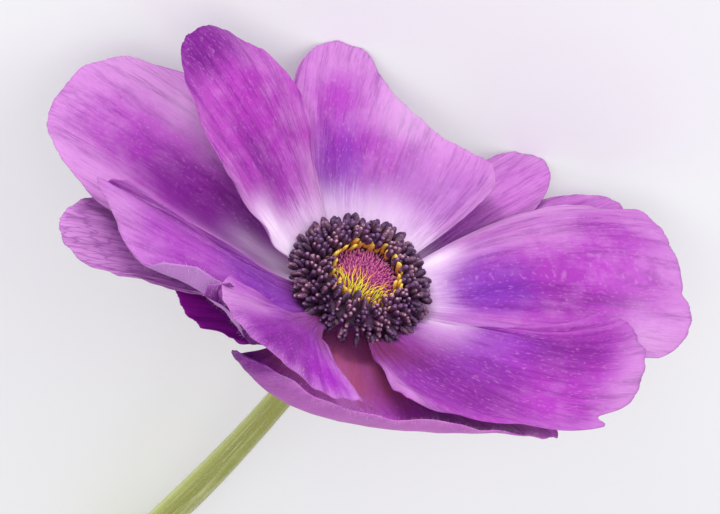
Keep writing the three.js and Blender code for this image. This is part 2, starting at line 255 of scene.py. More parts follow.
# Colours of a petal: white where it leaves the stamens, a blue-violet band, then clouds, streaks and
# flecks along the veins, and a pale margin. Each point carries its place in mm and its tint shares;
# where it is bare, the outside keeps the colours of the inside.
# Painted shade: the maroon tint darkens the petals' feet under the stamen ring, and the fold tint darkens the
# valleys of folds.
tintNames = ("pale", "deep", "violet", "white", "maroonShade", "bare")
petalSkin = {
    "Body": srgb(170, 58, 180),
    "Deep": srgb(112, 20, 128),
    "Band": srgb(112, 44, 168),
    "Pale": srgb(204, 143, 206),
    "White": srgb(252, 226, 255),
    # painted shade: the dark maroon where the stamen ring's shadow falls on the petals' feet
    "Maroon Shade": srgb(110, 36, 84),
    "Outer": srgb(184, 118, 190),
    "White Reach": 14.5,                # mm from the flower's axis
    "White Amount": 0.92,
    "Band Reach": 21.0,
    "Band Amount": 0.5,
    "Margin Width": 8.0,                # mm
    "Margin Amount": 0.6,
    "Cloud Amount": 0.4,
    "Streak Amount": 0.5,
    "Fleck Amount": 0.3,
    "Net Amount": 0.04,
}
petalGrain = {
    # noises along the veins: scale from side to side, scale per mm outwards, detail and roughness
    "broad": (4.5, 0.03, 3.0, 0.6),
    "middle": (13.0, 0.07, 3.0, 0.6),
    "fine": (58.0, 0.3, 4.0, 0.64),
    "dash": (66.0, 1.3, 2.0, 0.5),
    "cloud": (190.0, 5.0, 0.62),        # scale, detail and roughness
    "grain": (1300.0, 2.0, 0.6),
    "net": (19.0, 0.26),                # meshes from side to side, and per mm outwards
    "netLine": (0.0, 0.13),
    "cloudEdge": (0.42, 0.7),           # where each noise starts to show, and where it shows in full
    "streakEdge": (0.44, 0.66),
    "fleckEdge": (0.54, 0.7),
    "bandFade": (5.0, 7.0),             # mm over which the band fades, inside and outside its reach
    "whiteFade": (5.0, 5.0),
    "outerShare": 0.6,
    "bandSwing": (26.0, 16.0),          # mm that the broad and the fine noise move each edge
    "whiteSwing": (8.0, 6.0),
    "marginSwing": 6.0,                 # mm that the middle noise moves the margin's edge
    "netSwing": (5.0, 2.5),             # how far the broad and the middle noise shift the net
    "patchSwing": (0.9, 1.1),           # how much the middle and the fine noise shake a patch's share
    "roughness": (0.5, 0.2),            # least, and how much the grain adds
    "bump": (0.00022, 0.8),             # depth in m, and strength
}


def petalPattern():
    inputs = [(label, "NodeSocketColor" if isinstance(value, tuple) else "NodeSocketFloat", value)
              for label, value in {**petalSkin, "Variety": 0.0}.items()]
    outputs = (("Colour", "NodeSocketColor"), ("Height", "NodeSocketFloat"), ("Roughness", "NodeSocketFloat"))
    tree, given, result = newGroup("petalPattern", "ShaderNodeTree", inputs, outputs)
    across, reach, margin = (attribute(tree, label) for label in ("across", "reach", "margin"))
    place = objectPlace(tree)

    def veinNoise(label):
        wide, long, detail, roughness = petalGrain[label]
        return noise(triple(across * wide, reach * long, given["Variety"]), 1.0, detail, roughness)

    def swing(value, size):
        return (value - 0.5) * size

    def tinted(colour, share, other):
        return blendColour(share, colour, given[other])

    def inside(value, low, high):
        return 1 - ramp(value, low, high)

    def insideReach(label):
        broadSwing, fineSwing = petalGrain[label.lower() + "Swing"]
        less, more = petalGrain[label.lower() + "Fade"]
        reached = given[label + " Reach"]
        shaken = reach + swing(broad, broadSwing) + swing(fine, fineSwing)
        return inside(shaken, reached - less, reached + more) * given[label + " Amount"]

    def shown(value, label):
        return ramp(value, *petalGrain[label.lower() + "Edge"]) * given[label + " Amount"]

    broad, middle, fine, dash = (veinNoise(label) for label in ("broad", "middle", "fine", "dash"))
    cloud, grain = (noise(place, *petalGrain[label]) for label in ("cloud", "grain"))
    netAcross, netOut = petalGrain["net"]
    swingAcross, swingOut = petalGrain["netSwing"]
    netPlace = triple(across * netAcross + swing(broad, swingAcross),
                      reach * netOut + swing(middle, swingOut), given["Variety"])
    cells = nodeValue(tree, "ShaderNodeTexVoronoi", {"Vector": netPlace, "Scale": 1.0}, "Distance",
                      feature="DISTANCE_TO_EDGE")
    # a patch's edge follows the veins: its share is shaken by the streaks before it is used
    middleSwing, fineSwing = petalGrain["patchSwing"]
    shaken = 1.0 + (swing(fine, fineSwing) + swing(middle, middleSwing))

    def patched(colour, label, other):
        return tinted(colour, calc("MINIMUM", attribute(tree, label) * shaken, 1.0), other)

    colour = tinted(given["Body"], shown(cloud, "Cloud"), "Pale")
    colour = tinted(colour, insideReach("Band"), "Band")
    inRim = inside(margin + swing(middle, petalGrain["marginSwing"]), -1.0, given["Margin Width"])
    colour = tinted(colour, inRim * given["Margin Amount"], "Pale")
    for label, other in (("pale", "Pale"), ("deep", "Deep"), ("violet", "Band")):
        colour = patched(colour, label, other)
    colour = tinted(colour, shown(middle * 0.5 + fine * 0.5, "Streak"), "Deep")
    colour = tinted(colour, shown(dash * 0.8 + grain * 0.2, "Fleck"), "Pale")
    colour = tinted(colour, inside(cells, *petalGrain["netLine"]) * given["Net Amount"], "Deep")
    colour = tinted(colour, insideReach("White"), "White")
    # the maroon tint: painted shade that the stamen ring casts on the petals' feet
    for label, other in (("white", "White"), ("maroonShade", "Maroon Shade")):
        colour = patched(colour, label, other)
    outer = attribute(tree, "outside") * (1.0 - attribute(tree, "bare"))
    colour = tinted(colour, outer * petalGrain["outerShare"], "Outer")
    # painted shade in the valleys of folds
    put(result["Colour"], tinted(colour, attribute(tree, "foldShade"), "Deep"))
    put(result["Height"], fine * 0.7 + grain * 0.3)
    least, more = petalGrain["roughness"]
    put(result["Roughness"], grain * more + least)
    return tree


petalGroup = petalPattern()


def petalMaterial(name, variety, own):
    material, tree, sockets = newMaterial(
        name, Specular_IOR_Level=0.14, Sheen_Weight=0.03, Sheen_Roughness=0.4, Subsurface_Weight=0.12,
        Subsurface_Scale=0.0012, Subsurface_Radius=(1.0, 0.5, 1.0))
    pattern = makeNode(tree, "ShaderNodeGroup", {}, node_tree=petalGroup)
    for label, value in {**petalSkin, "Variety": variety, **own}.items():
        pattern.inputs[label].default_value = value
    colour, height, roughness = (Value(pattern.outputs[label]) for label in ("Colour", "Height", "Roughness"))
    put(sockets["Base Color"], colour)
    put(sockets["Roughness"], roughness)
    put(sockets["Normal"], bumped(height, *petalGrain["bump"]))
    return material


# Petals. Pairs are the side of growing azimuth, then the other side. Veins fan out from the narrow
# foot to the rim; climb gives degrees above the flower's plane at every 10 mm out.
petalMake = {
    "thickness": 0.42,
    "rimThickness": 0.14,
    "rimWidth": 1.6,                    # mm over which the blade thins to its rim
    "layerRise": 0.95,
    "footRadius": 3.45,
    "footHalf": 1.5,
    "rows": 96,
    "columns": 108,
    "climbStep": 10,
    "veinDepth": 0.05,
    "veinsAcross": 17,
    "toothDepth": 0.13,
    "teeth": (9, 26),                   # coarse and fine swings along the rim
    "toothFade": 14,                    # the higher, the nearer to the rim the teeth stay
    "ruffle": 0.45,
    "ruffleWidth": 3.5,
    "ruffleStart": (0.15, 0.6),         # from foot to rim: where it starts, and where it is in full
    "ruffleScale": (4, 2.5),            # pace of its swings across, and from foot to rim
    "swell": 0.25,                      # broad unevenness of the whole blade
    "swellStart": (0.15, 0.5),
    "swellScale": (1.5, 1.5),
    "veinStart": (0.08, 0.3),
    "driftReach": 50,                   # mm out where a petal has turned by its drift
    "patchFade": (3, 4),                # mm over which a tint fades, at its near end and its far end
    "clearance": 0.22,                  # the least height of a petal's middle over the table
}
plainPetal = {
    "shoulder": (0.7, 0.7), "tip": (2.2, 2.2), "flare": (0.35, 0.35), "waist": (1, 1), "even": False,
    "skew": 0, "notches": (), "lift": (0, 0), "drift": 0, "rough": 1, "folds": (), "rolls": (), "skin": {},
    "tints": (),
}
petals = [
    {"azimuth": 32, "layer": 2, "length": 53, "width": (15, 14.5), "shoulder": (0.74, 0.7),
     "tip": (3.8, 2.5), "flare": (0.55, 0.38), "climb": (1, 20, 13, 4, 0, -4),
     "notches": ((0.04, 1.2, 0.05), (-0.3, -0.8, 0.25)), "wave": (0.4, 2.5, 0.4),
     "skin": {"White Reach": 12.5, "White Amount": 0.7, "Band Reach": 20.0},
     "tints": (("violet", 0.1, 0.2, 16, 27, 0.75), ("deep", 0.1, 0.18, 22, 35, 0.5),
               ("deep", 0.12, 0.06, 17, 44, 0.45), ("pale", -0.38, 0.2, 15, 38, 0.5),
               ("pale", -0.95, 0.25, 12, 46, 0.8), ("pale", 0.6, 0.5, 42, 58, 0.75),
               ("white", 0.4, 0.25, 38, 47, 0.12), ("white", -0.5, 0.3, 6, 17, 1.0),
               ("white", -0.1, 0.3, 6, 13, 0.4))},
    {"azimuth": 52, "layer": 0, "length": 50.5, "width": (5.2, 11), "shoulder": (0.72, 0.78),
     "flare": (0.4, 0.4), "climb": (2, 14, 11, 3, 2, 0), "wave": (0.1, 2, 0), "rough": 0.2,
     "skin": {"Body": srgb(178, 80, 186), "White Amount": 0.0, "Margin Amount": 0.4},
     "tints": (("deep", -0.2, 0.3, 20, 40, 0.3),)},
    {"azimuth": 66, "layer": 1, "length": 43.5, "width": (6, 6), "shoulder": (0.74, 0.6), "skew": -1,
     "flare": (0.4, 0.4), "climb": (0, 16, 15, 0, -2, -4), "wave": (0.1, 2, 0), "rough": 0.2,
     "skin": {"Body": srgb(188, 96, 194), "Margin Amount": 0.4},
     "tints": (("deep", 0.1, 0.4, 12, 28, 0.6), ("pale", -0.5, 0.5, 26, 45, 0.4))},
    {"azimuth": 98, "layer": 2, "length": 38.5, "width": (22, 15.5), "shoulder": (0.7, 0.6),
     "tip": (1.85, 2.1), "flare": (0.35, 0.52), "skew": -9.5,
     "notches": ((0.4, 5.8, 0.36), (0.12, 2.3, 0.2)), "climb": (0, 24, 34, 20, 5, -10),
     "wave": (0.5, 2, 2.2),
     "skin": {"White Reach": 14.0, "Band Reach": 20.0, "Band Amount": 0.6},
     "tints": (("violet", -0.25, 0.2, 13, 26, 0.4), ("white", 0.24, 0.16, 26, 36, 0.14),
               ("pale", 0.3, 0.3, 26, 40, 0.85), ("deep", -0.3, 0.06, 16, 30, 0.4),
               ("pale", 0.95, 0.2, 14, 40, 0.6), ("pale", 0.5, 0.35, 14, 40, 0.5),
               ("pale", 0.0, 0.6, 14, 20, 0.3), ("pale", -0.2, 0.3, 34, 44, 0.6),
               ("white", 0.3, 0.25, 6, 17, 0.5), ("white", -0.3, 0.2, 6, 16, 0.5))},
    {"azimuth": 160, "layer": 3, "length": 45.7, "width": (11, 11), "shoulder": (0.56, 0.6),
     "tip": (1.75, 2.2), "flare": (0.3, 0.5), "waist": (1, 0.7), "climb": (0, 24, 36, 26, 14, 0, -10),
     "wave": (0.4, 2, 0.8),
     "skin": {"Body": srgb(174, 58, 178), "White Reach": 14.0, "White Amount": 0.8, "Band Amount": 0.1,
              "Streak Amount": 0.6, "Margin Amount": 0.15},
     "tints": (("deep", -0.2, 0.16, 19, 30, 0.6), ("deep", -0.1, 0.5, 39, 52, 1.0),
               ("pale", -0.95, 0.18, 14, 27, 0.7), ("pale", 0.7, 0.4, 10, 21, 0.9),
               ("white", -0.75, 0.3, 6, 20, 0.95), ("pale", 0.35, 0.2, 38, 46, 0.3))},
    {"azimuth": 178, "layer": 1, "length": 53, "width": (15, 16), "shoulder": (0.66, 0.66),
     # the fold's last number is the painted shade in its valley
     "tip": (2.3, 2.3), "climb": (0, 18, 21, 7, 4, 0, -8), "folds": ((-0.45, -0.03, -2.2, 0.28, 0.8),),
     "wave": (0.5, 2.5, 0),
     "skin": {"White Reach": 11.0, "Band Amount": 0.15, "Margin Width": 11.0, "Margin Amount": 0.7},
     # painted shade: the deep patch along the middle darkens the fold's valley. The pale and white patches on
     # the side that petal 5 overlaps are the margin's own pale colour, lightened with painted light against
     # the shadow that petal 5 casts.
     "tints": (("pale", 0.46, 0.28, 21, 56, 1.0), ("deep", -0.06, 0.15, 16, 35, 0.75),
               ("pale", 0.95, 0.4, 14, 40, 0.7), ("white", 0.4, 0.2, 26, 40, 0.15),
               ("white", -0.26, 0.15, 6, 21, 1.0), ("pale", -0.3, 0.12, 8, 26, 0.8),
               ("pale", -0.5, 0.3, 38, 56, 0.6))},
    {"azimuth": 204.5, "layer": 0, "length": 45.8, "width": (7, 9), "tip": (1.9, 2.2),
     "climb": (1, 11, 14, 8, 2, 0), "wave": (0.5, 2, 1),
     "skin": {"Body": srgb(174, 98, 182), "Net Amount": 0.5, "White Amount": 0.0, "Streak Amount": 0.3},
     "tints": (("pale", -0.1, 0.8, 38, 50, 0.5), ("deep", 0.5, 0.5, 30, 42, 0.35),
               ("deep", 0.5, 0.6, 14, 30, 0.5))},
    {"azimuth": 212, "layer": 2, "length": 43, "width": (15.8, 9.5), "shoulder": (0.51, 0.88),
     "tip": (1.8, 2.2), "flare": (0.35, 0.4), "waist": (1, -0.3), "even": True, "skew": 7,
     "notches": ((-0.62, 5.2, 0.18), (-0.18, 1.7, 0.2)), "climb": (0, 22, 25, 15, 6, 0),
     "wave": (0.8, 2.5, 0.6), "rolls": ((-0.49, 0.06, 6.0, 185), (-0.8, 0.14, 1.5, 90)),
     "skin": {"Body": srgb(160, 54, 176), "White Amount": 0.0, "Band Amount": 0.4, "Cloud Amount": 0.25,
              "Margin Amount": 0.3, "Outer": srgb(196, 148, 208)},
     # the maroon tint is painted shade under the stamen ring
     "tints": (("violet", 0.0, 0.7, 8, 24, 0.45), ("maroonShade", 0.0, 1.2, 4, 12, 0.5),
               ("pale", 0.97, 0.08, 14, 40, 0.7), ("pale", -0.05, 0.3, 37, 46, 0.65),
               ("deep", 0.45, 0.3, 12, 36, 0.6), ("deep", -0.7, 0.3, 10, 30, 0.7),
               ("pale", -0.2, 0.12, 34, 40, 0.2))},
    {"azimuth": 214, "layer": -1, "length": 28, "width": (8.6, 10), "shoulder": (0.56, 0.66),
     "notches": ((-0.62, 1.6, 0.08),), "climb": (0, 6, 10, 6, 0), "wave": (0.3, 2, 2),
     "skin": {"Body": srgb(132, 4, 138), "Pale": srgb(146, 20, 150), "Outer": srgb(132, 8, 138),
              "White Amount": 0.0, "Band Amount": 0.2}},
    {"azimuth": 257, "layer": 3, "length": 33.1, "width": (15.3, 13.6), "shoulder": (0.86, 0.7),
     "tip": (2.4, 2.4), "flare": (0.5, 0.55), "waist": (-0.2, 0.1), "even": True,
     "climb": (0, 23, 35, 26, 27), "wave": (0.4, 2.5, 1.5),
     "skin": {"Body": srgb(158, 36, 178), "White Amount": 0.0, "Band Amount": 0.2, "Margin Width": 4.0,
              "Margin Amount": 0.5, "Cloud Amount": 0.2},
     # the maroon tints are painted shade under the stamen ring
     "tints": (("maroonShade", 0.0, 1.2, 5, 13, 0.95), ("maroonShade", 0.0, 1.2, 12, 18, 0.4),
               ("deep", -0.2, 0.8, 10, 24, 0.4), ("deep", 0.0, 0.35, 20, 33, 0.7),
               ("pale", 0.6, 0.25, 22, 36, 0.8), ("pale", 0.1, 0.3, 13, 19, 0.2),
               ("maroonShade", -0.7, 0.25, 12, 21, 0.7), ("pale", -0.9, 0.15, 25, 33, 0.3))},
    {"azimuth": 306, "layer": 0, "length": 37, "width": (24.5, 28), "shoulder": (0.74, 0.48),
     "tip": (1.8, 2.3), "lift": (-40, 0), "climb": (2, 8, 14, 56, 80), "wave": (0.4, 3, 0),
     # Body is lighter here than on the other petals: painted light that lifts the shade over this petal's
     # inner face
     "skin": {"Body": srgb(196, 60, 194), "White Amount": 0.0, "Margin Width": 2.0, "Net Amount": 0.15,
              # a lighter maroon for the painted shade under the stamen ring
              "Maroon Shade": srgb(176, 82, 126), "Outer": srgb(190, 118, 190)},
     # the maroon tint is painted shade under the stamen ring
     "tints": (("maroonShade", 0.0, 1.2, 5, 20, 0.8), ("bare", 0.95, 0.38, 0, 60, 1.0),
               ("deep", 0.95, 0.38, 12, 60, 1.0), ("pale", 0.15, 0.12, 8, 24, 0.5))},
    {"azimuth": 337, "layer": 3, "length": 44, "width": (15, 16), "shoulder": (0.75, 0.42), "lift": (0, 6),
     "tip": (2.4, 1.75), "flare": (0.35, 0.3), "waist": (0.3, 0.85), "drift": 33,
     "climb": (0, 20, 18, 6, 0, -4), "notches": ((0.25, 2.2, 0.05), (0.38, -1.7, 0.12), (0.65, 0.7, 0.15)),
     "wave": (0.6, 2.5, 2.4),
     "skin": {"White Amount": 0.0, "Band Reach": 22.0, "Band Amount": 0.3, "Cloud Amount": 0.25,
              "Margin Width": 3.0, "Margin Amount": 0.15},
     # the maroon tint is painted shade under the stamen ring
     "tints": (("white", -0.65, 0.45, 9, 17, 0.9), ("maroonShade", 0.65, 0.5, 5, 17, 0.95),
               ("violet", -0.2, 0.4, 18, 28, 0.4), ("deep", -0.35, 0.3, 26, 38, 0.75),
               ("deep", 0.4, 0.4, 15, 31, 0.8), ("pale", 0.0, 0.6, 40, 50, 0.8),
               ("pale", 0.92, 0.08, 17, 36, 0.8), ("pale", -0.2, 0.25, 12, 22, 0.4))},
]


def curveThrough(knots, spacing, x):
    # value at x on a smooth curve through knots a fixed spacing apart
    knots = np.array(knots, float)
    t = np.clip(x / spacing, 0, len(knots) - 1 - 1e-6)
    i = t.astype(int)
    f = t - i
    a, b, c, d = (knots[np.clip(i + k, 0, len(knots) - 1)] for k in (-1, 0, 1, 2))
    square = (2 * a - 5 * b + 4 * c - d) * f ** 2
    cube = (3 * b - a - 3 * c + d) * f ** 3
    return 0.5 * (2 * b + (c - a) * f + square + cube)


def flatPetal(petal, u, v):
    # x across and y out, for u from foot to rim and v from side to side
    def pick(name):
        return np.where(v < 0, petal[name][0], petal[name][1])
    angle = v * math.pi / 2
    power = 2 / pick("tip")
    sine = np.sign(v) * np.abs(np.sin(angle)) ** power
    cosine = np.abs(np.cos(angle)) ** power
    length = petal["length"]
    shoulder = pick("shoulder") * length
    rimX = pick("width") * sine + petal["skew"] * cosine ** 2
    rimY = shoulder + (length - shoulder) * cosine
    for at, depth, width in petal["notches"]:
        rimY = rimY - depth * np.exp(-((v - at) / width) ** 2)
    flareLow, flareHigh = petal["flare"]
    flare = flareLow + (flareHigh - flareLow) * (1 + np.sin(angle)) / 2
    midX = (1 + (pick("waist") - 1) * np.sin(angle) ** 2) * rimX
    if petal["even"]:
        # a blade that bends sideways: its veins share out the width between its two sides
        left, right = (petal["width"][side] * petal["waist"][side] for side in (0, 1))
        midX = (right - left) / 2 + (right + left) / 2 * np.sin(angle)
    near, mid, far = (1 - u) ** 2, 2 * u * (1 - u), u * u
    x = near * v * petalMake["footHalf"] + mid * midX + far * rimX
    y = near * petalMake["footRadius"] + mid * flare * length + far * rimY
    return x, y


def marginDistance(x, y):
    # mm from each point to the petal's sides and rim
    edge = np.concatenate((np.stack((x[:, 0], y[:, 0]), 1), np.stack((x[-1], y[-1]), 1),
                           np.stack((x[:, -1], y[:, -1]), 1)))
    points = np.stack((x.ravel(), y.ravel()), 1)
    gap = np.sqrt(((points[:, None] - edge[None]) ** 2).sum(2)).min(1)
    return gap.reshape(x.shape)


def rolledMargin(petal, v, x, y):
    # the last length mm of the margin bend up and over: moves x and y back, and gives the rise
    pieces = np.hypot(np.diff(x, axis=0), np.diff(y, axis=0))
    arc = np.concatenate((np.zeros_like(x[:1]), np.cumsum(pieces, 0)))
    rise = np.zeros_like(x)
    for at, half, length, degrees in petal["rolls"]:
        bend = math.radians(degrees) / length * np.exp(-((v - at) / half) ** 4)
        past = np.maximum(arc - arc[-1] + length, 0)
        back = past * (1 - np.sinc(bend * past / math.pi))
        ahead = np.maximum(np.hypot(np.gradient(x, axis=0), np.gradient(y, axis=0)), 1e-6)
        x = x - back * np.gradient(x, axis=0) / ahead
        y = y - back * np.gradient(y, axis=0) / ahead
        rise = rise + past * np.sinc(bend * past / (2 * math.pi)) * np.sin(bend * past / 2)
    return x, y, rise


def toothedMargin(petal, u, v, x, y, seed):
    coarse, fine = petalMake["teeth"]
    fade, depth = petalMake["toothFade"], petalMake["toothDepth"]
    tooth = ripple(v * coarse, v * 0, seed) + 0.6 * ripple(v * fine, v * 0, seed + 1)
    sideTooth = np.sign(v) * ripple(u * coarse, v, seed + 2) * np.abs(v) ** fade
    return x + depth * sideTooth * u, y + petal["rough"] * depth * tooth * u ** fade


def foldForms(petal, u, v):
    # how far the blade's folds sink or stand, and the shade painted into their valleys
    rise, shade = np.zeros_like(u), np.zeros_like(u)
    for base, far, depth, width, dark in petal["folds"]:
        line = base + (far - base) * u
        form = np.exp(-((v - line) / width) ** 2)
        rise = rise + depth * form * np.sin(0.9 * math.pi * u) ** 2
        shade = np.maximum(shade, dark * form ** 3 * smooth(0.1, 0.35, u) * smooth(1.0, 0.55, u))
    return rise, shade


def tintShares(petal, v, rho):
    # soft patches: centre and half width from side to side, then from and to in mm, then the strength
    shares = {name: np.zeros_like(v) for name in tintNames}
    nearFade, farFade = petalMake["patchFade"]
    for name, at, half, near, far, share in petal["tints"]:
        outwards = smooth(near - nearFade, near + nearFade, rho) * smooth(far + farFade, far - farFade, rho)
        shares[name] = np.maximum(shares[name], share * np.exp(-((v - at) / half) ** 2) * outwards)
    return shares


def petalSheet(petal, seed):
    # the middle of the blade, row by row, with the numbers that its colours need
    make = petalMake
    u, v = np.meshgrid(np.linspace(0, 1, make["rows"] + 1), np.linspace(-1, 1, make["columns"] + 1),
                       indexing="ij")
    x, y = flatPetal(petal, u, v)
    margin = marginDistance(x, y)
    x, y, out = rolledMargin(petal, v, x, y)
    x, y = toothedMargin(petal, u, v, x, y, seed)
    rho = np.hypot(x, y)
    side = np.where(v < 0, petal["lift"][0], petal["lift"][1])
    width = np.where(v < 0, petal["width"][0], petal["width"][1])
    slope = np.radians(curveThrough(petal["climb"], make["climbStep"], rho) + side * (x / width) ** 2)
    step = np.diff(rho, axis=0)
    reach = np.concatenate((rho[:1], rho[:1] + np.cumsum(step * np.cos(slope[1:]), 0)))
    climbed = np.concatenate((np.zeros_like(rho[:1]), np.cumsum(step * np.sin(slope[1:]), 0)))
    size, waves, start = petal["wave"]
    out = out + size * u ** 3 * np.sin(math.pi * waves * v + start)
    foldRise, shade = foldForms(petal, u, v)

    def uneven(label, offset):
        across, outwards = make[label + "Scale"]
        swings = ripple(v * across, u * outwards, seed + offset)
        return make[label] * smooth(*make[label + "Start"], u) * swings

    nearRim = np.exp(-margin / make["ruffleWidth"])
    out = out + foldRise + petal["rough"] * nearRim * uneven("ruffle", 3) + uneven("swell", 4)
    veins = np.abs(np.sin(math.pi * make["veinsAcross"] * v / 2 + ripple(v, u * 2, seed + 5)))
    out = out - make["veinDepth"] * (1 - veins) ** 2 * smooth(*make["veinStart"], u)
    drift = petal["drift"] * (rho / make["driftReach"]) ** 2
    turn = np.radians(petal["azimuth"] + drift) - np.arctan2(x, y)
    reach = reach - out * np.sin(slope)
    height = petal["layer"] * make["layerRise"] + climbed + out * np.cos(slope)
    middle = np.stack((reach * np.cos(turn), reach * np.sin(turn), height), -1)
    return middle, {"across": v, "reach": rho, "margin": margin, "foldShade": shade, **tintShares(petal, v, rho)}


def gridFaces(rows, columns):
    k, j = np.meshgrid(np.arange(rows), np.arange(columns), indexing="ij")
    a = (k * (columns + 1) + j).ravel()
    return np.stack((a, a + 1, a + columns + 2, a + columns + 1), 1)


def petalBody(petal, name, seed):
    # the upper face, the lower face and the rim between them
    middle, where = petalSheet(petal, seed)
    rows, columns = petalMake["rows"], petalMake["columns"]
    short = np.maximum(petalMake["clearance"] - tableHeight(middle), 0)
    middle = middle + short[..., None] * turnRows[2]
    normal = np.cross(np.gradient(middle, axis=1), np.gradient(middle, axis=0))
    normal /= np.linalg.norm(normal, axis=-1, keepdims=True)
    full, thin = petalMake["thickness"], petalMake["rimThickness"]
    half = (thin + (full - thin) * smooth(0, petalMake["rimWidth"], where["margin"]))[..., None] / 2
    upper, lower = middle + normal * half, middle - normal * half
    under = (rows + 1) * (columns + 1)
    front = gridFaces(rows, columns)
    back = front[:, ::-1] + under
    grid = np.arange(under).reshape(rows + 1, columns + 1)
    loop = np.concatenate((grid[0, :-1], grid[:-1, -1], grid[-1, :0:-1], grid[:0:-1, 0]))
    following = np.roll(loop, -1)
    rim = np.stack((loop, loop + under, following + under, following), 1)
    shades = {label: np.tile(values.ravel(), 2) for label, values in where.items()}
    shades["outside"] = np.repeat((0.0, 1.0), under)
    points = layOnTable(np.concatenate((upper.reshape(-1, 3), lower.reshape(-1, 3))))
    return shapeMesh(name, points, np.concatenate((front, back, rim)).tolist(), **shades)


for number, values in enumerate(petals, 1):
    label = f"{number:02d}"
    petal = {**plainPetal, **values}
    skin = petalMaterial("petalSkin" + label, 3.7 * number, petal["skin"])
    blade = petalBody(petal, "petalLeaf" + label, 20 * number)
    finishPiece("petalLeaf" + label, blade, skin, "petal_" + label)
print("petals made")


# Stem: a gently bent tube with shallow ribs, whose top swells into the boss that carries the petals.
stemMake = {
    "length": 104.0,
    "radii": (1.75, 2.35),              # under the flower and at the cut end
    "flareShare": 0.7,
    "sway": (0.084, 0.00246),           # sideways slope under the flower, and its growth per mm
    "boss": ((4.2, 0.5), (4.2, 2.5), (3.8, 3.1), (-1.6, 3.1), (-3.2, 2.3)),    # heights and radii
    "bossEnd": -4.6,
    "sides": 40,
    "steps": 120,
    "ribs": 7,
    "ribDepth": 0.06,
    "ribTwist": 0.004,                  # radians of phase that the ribs gain at each ring
    "uneven": (0.02, 0.11),             # share of the radius, and radians of phase gained at each ring
    "shadeTurn": 0.6,                   # radians that the painted shade is turned round the stem
    "cut": ((0, 0.82), (0.5, 0.6), (0.65, 0.05)),    # mm into the cut end, at these shares of its radius
}


def stemBody():
    make = stemMake
    sides, end = make["sides"], make["bossEnd"]
    top, bottom = make["radii"]
    bulge, bulgeTurn = make["uneven"]
    stride = (make["length"] + end) / make["steps"]
    tangent = np.array((0, 0, -1.0))
    rings = [(np.array((0, 0, z)), tangent, radius) for z, radius in (*make["boss"], (end, top))]
    onBoss = len(rings)
    centre = np.array((0, 0, end))
    for k in range(make["steps"]):
        run = (k + 0.5) * stride - end
        tangent = np.array((0, 0, -1.0)) + along * (make["sway"][0] + make["sway"][1] * run)
        tangent /= np.linalg.norm(tangent)
        centre = centre + tangent * stride
        growth = smooth(0, make["flareShare"], (k + 1) / make["steps"])
        rings.append((centre, tangent, top + (bottom - top) * growth))
    rings += [(centre - tangent * inward, tangent, rings[-1][2] * share) for inward, share in make["cut"]]
    points = []
    around = np.linspace(0, 2 * math.pi, sides, endpoint=False)
    for k, (middle, tangent, radius) in enumerate(rings):
        across = np.array((1.0, 0, 0)) - tangent * tangent[0]
        across /= np.linalg.norm(across)
        other = np.cross(tangent, across)
        rib = 1 + make["ribDepth"] * np.cos(make["ribs"] * around + make["ribTwist"] * k) * (k > onBoss)
        uneven = 1 + bulge * np.sin(bulgeTurn * k + 2 * around)
        size = (radius * rib * uneven)[:, None]
        points.append(middle + size * (np.cos(around)[:, None] * across + np.sin(around)[:, None] * other))
    # across goes from -1 to 1 round the stem and places the painted shade on one side
    return shapeMesh("stemTube", layOnTable(np.concatenate(points)), tubeFaces(len(rings), sides),
                     reach=np.repeat([np.linalg.norm(middle) for middle, tangent, radius in rings], sides),
                     across=np.tile(np.sin(around + make["shadeTurn"]), len(rings)),
                     boss=np.repeat(np.arange(len(rings)) < onBoss, sides))


stemSkin = {
    "green": srgb(196, 206, 112),
    # olive: the grain's colour, and the painted shade on the stem's darker side
    "oliveShadeAndGrain": srgb(148, 152, 66),
    "pale": srgb(222, 226, 168),
    # painted shade: a brownish grey on the stem where it runs under the bloom
    "underBloomShade": srgb(140, 110, 90),
    "boss": srgb(84, 38, 66),
    "streaks": (6.0, 0.04),             # scale round the stem, and per mm along it
    "grain": 1100.0,
    "underBloomShadeReach": (4.0, 22.0),          # mm from the flower where the painted shade under the bloom is full, and where it ends
    "sideEdge": (-0.5, 0.6),            # where each colour starts to show, and where it shows in full
    "streakEdge": (0.48, 0.7),
    "grainEdge": (0.55, 0.75),
    "streakShare": 0.6,
    "grainShare": 0.35,
    "underBloomShadeShare": 0.5,
    "bump": 0.0002,                     # m
}


def stemMaterial():
    material, tree, sockets = newMaterial("stemSkin", Roughness=0.6, Specular_IOR_Level=0.3,
                                          Sheen_Weight=0.25, Subsurface_Weight=0.1, Subsurface_Scale=0.001)
    across, reach = attribute(tree, "across"), attribute(tree, "reach")
    wide, long = stemSkin["streaks"]
    streaks = noise(triple(across * wide, reach * long), 1.0, 4.0, 0.6)
    grain = noise(objectPlace(tree), stemSkin["grain"], 3.0, 0.6)
    # painted shade: one side of the stem goes over from green to olive
    colour = blendColour(ramp(across, *stemSkin["sideEdge"]), stemSkin["green"], stemSkin["oliveShadeAndGrain"])
    streaked = ramp(streaks, *stemSkin["streakEdge"]) * stemSkin["streakShare"]
    colour = blendColour(streaked, colour, stemSkin["pale"])
    grained = ramp(grain, *stemSkin["grainEdge"]) * stemSkin["grainShare"]
    colour = blendColour(grained, colour, stemSkin["oliveShadeAndGrain"])
    # painted shade on the stem under the bloom
    underBloom = 1.0 - ramp(reach, *stemSkin["underBloomShadeReach"])
    colour = blendColour(underBloom * stemSkin["underBloomShadeShare"], colour, stemSkin["underBloomShade"])
    put(sockets["Base Color"], blendColour(attribute(tree, "boss"), colour, stemSkin["boss"]))
    put(sockets["Normal"], bumped(streaks * 0.6 + grain * 0.4, stemSkin["bump"]))
    return material


stem = finishPiece("stemTube", stemBody(), stemMaterial(), "stem")
print("stem made")


